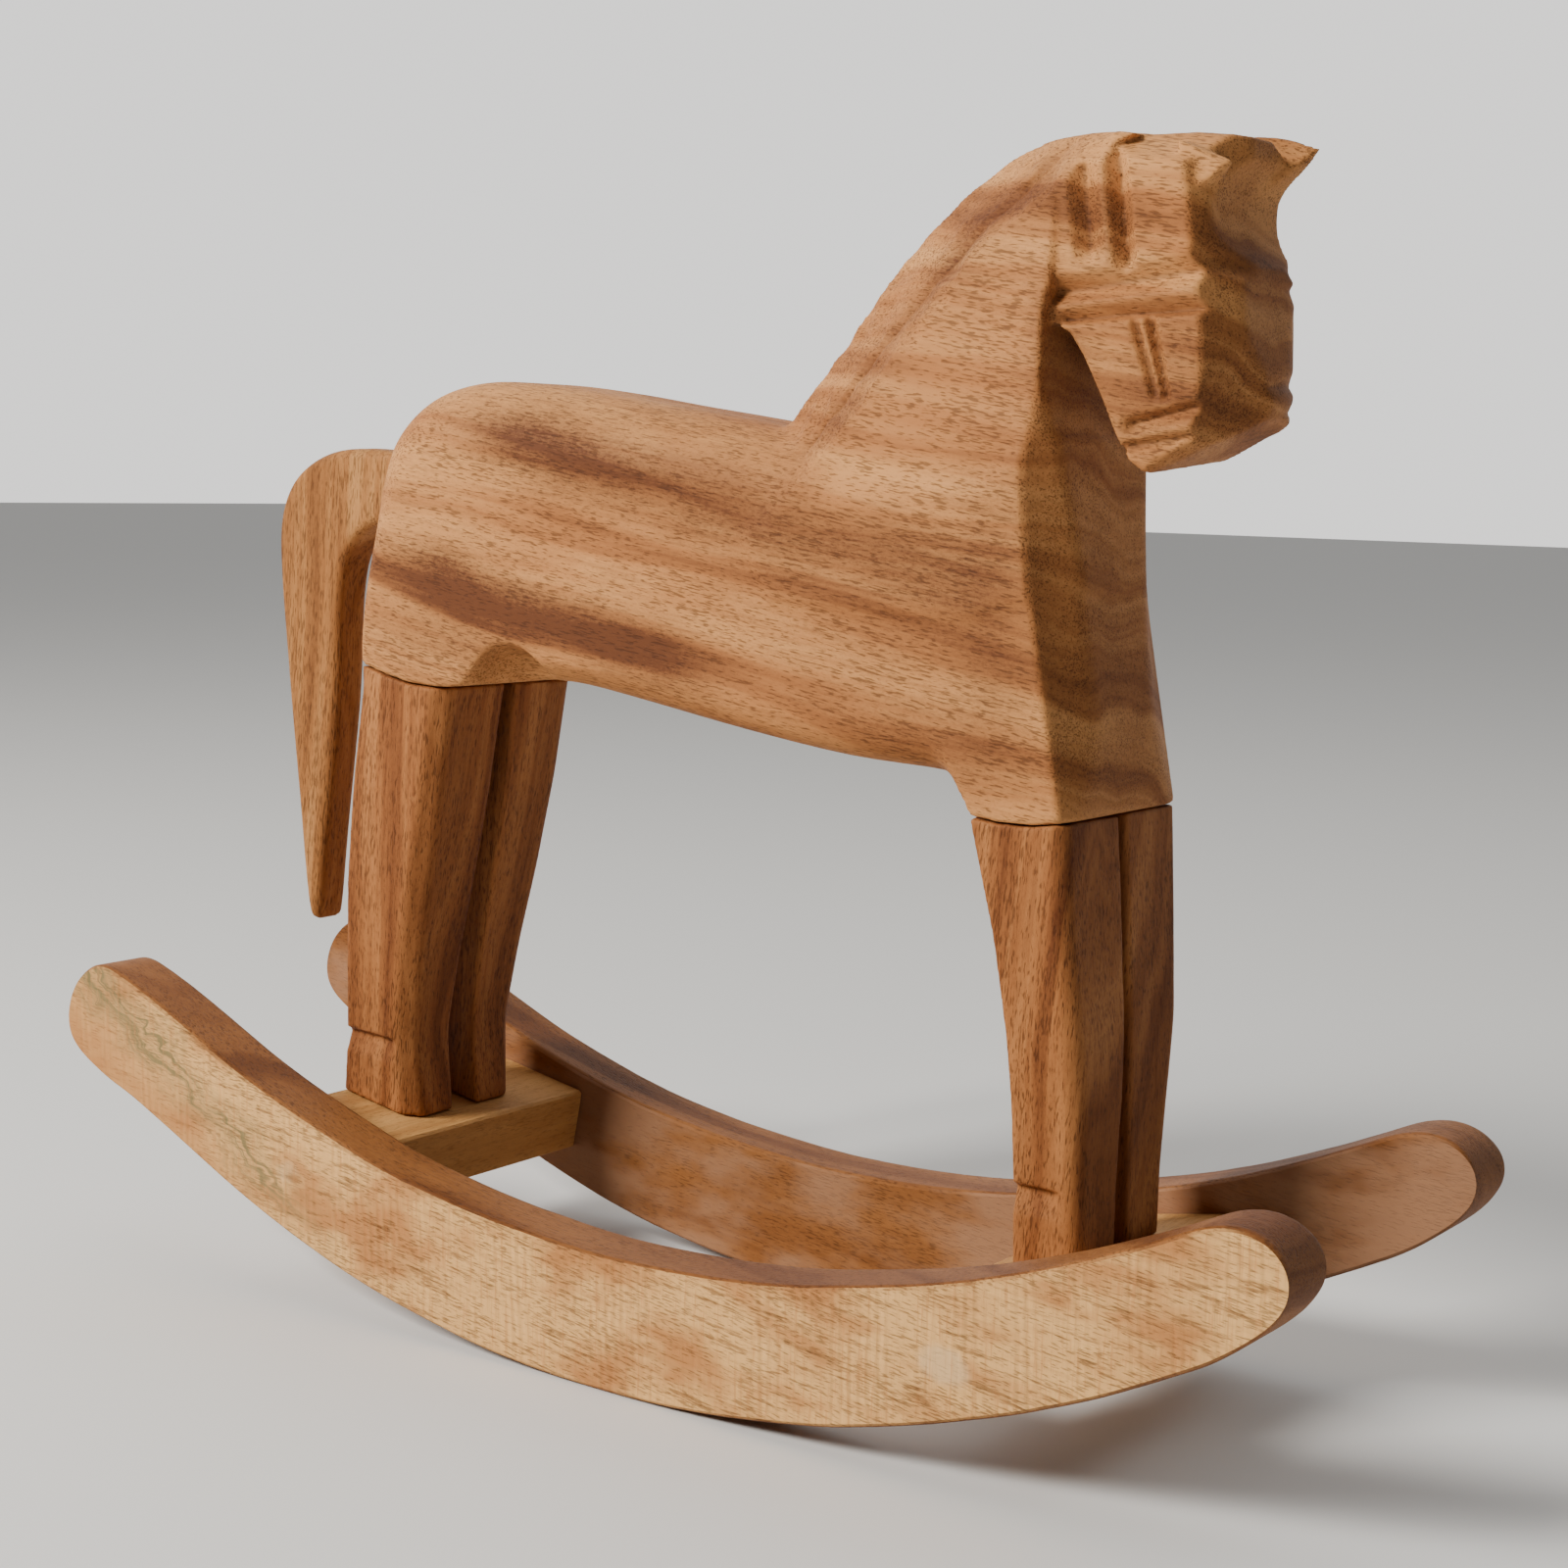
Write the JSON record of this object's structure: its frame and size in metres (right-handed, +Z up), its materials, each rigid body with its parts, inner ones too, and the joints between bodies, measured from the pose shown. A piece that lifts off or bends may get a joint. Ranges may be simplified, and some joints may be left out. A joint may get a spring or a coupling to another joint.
{
  "type": "toy rocking horse",
  "caption": "Small carved wooden horse with notched bridle marks, glued-on legs and tail, standing on slats between a pair of crescent rockers.",
  "frame": {"origin": "on the floor, under the middle of the overall length and width", "axes": "+Z up, +X towards the head, +Y towards the horse's left side"},
  "size_m": [0.2504, 0.079, 0.1994],
  "materials": {
    "body_wood": "satin oiled",
    "leg_wood": "satin oiled",
    "tail_wood": "satin oiled",
    "rocker_wood": "sawn, unpolished",
    "slat_wood": "sawn, unpolished",
    "dowel_wood": "plain",
    "steel": "zinc plated",
    "filler": "matt wood filler"
  },
  "bodies": {
    "root": {"body": "body_wood", "tail": "tail_wood", "dowel_tail": "dowel_wood", "hind_leg_right": "leg_wood", "dowel_hind_leg_right": "dowel_wood", "screw_hind_leg_right": "steel", "hind_leg_left": "leg_wood", "dowel_hind_leg_left": "dowel_wood", "screw_hind_leg_left": "steel", "front_leg_right": "leg_wood", "dowel_front_leg_right": "dowel_wood", "screw_front_leg_right": "steel", "front_leg_left": "leg_wood", "dowel_front_leg_left": "dowel_wood", "screw_front_leg_left": "steel", "rocker_right": "rocker_wood", "rocker_left": "rocker_wood", "slat_rear": "slat_wood", "nail_rear_right": "steel", "filler_rear_right": "filler", "nail_rear_left": "steel", "filler_rear_left": "filler", "slat_front": "slat_wood", "nail_front_right": "steel", "filler_front_right": "filler", "nail_front_left": "steel", "filler_front_left": "filler"}
  },
  "joints": []
}
